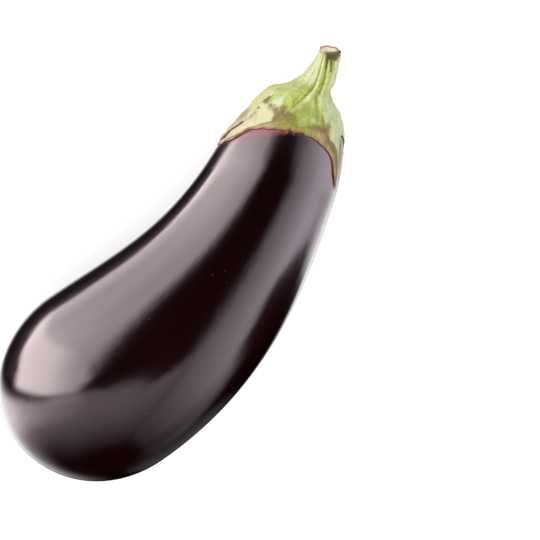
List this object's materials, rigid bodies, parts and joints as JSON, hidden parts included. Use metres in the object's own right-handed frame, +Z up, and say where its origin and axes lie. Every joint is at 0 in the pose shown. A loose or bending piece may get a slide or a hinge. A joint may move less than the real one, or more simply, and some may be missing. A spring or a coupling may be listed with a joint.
{
  "type": "eggplant",
  "caption": "Whole picked eggplant lying on its side, with a bent glossy purple-black fruit, a lobed green calyx and a cut stem.",
  "frame": {"origin": "on the surface it lies on, below the centre of its bounding box", "axes": "+X along the eggplant from the blossom end to the stem, +Y towards the hollow side of its bend, +Z up"},
  "size_m": [0.2278, 0.095, 0.0906],
  "materials": {
    "purple_black_skin": "waxy natural skin, very dark purple, glossy",
    "green_calyx": "fresh sepals, yellow-green with dry brown edges, satin",
    "pale_green_stem": "fresh ribbed stalk, pale green, with a pale cut end browned at its rim, satin"
  },
  "bodies": {
    "root": {"fruit": "purple_black_skin", "calyx": "green_calyx", "stem": "pale_green_stem"}
  },
  "joints": []
}
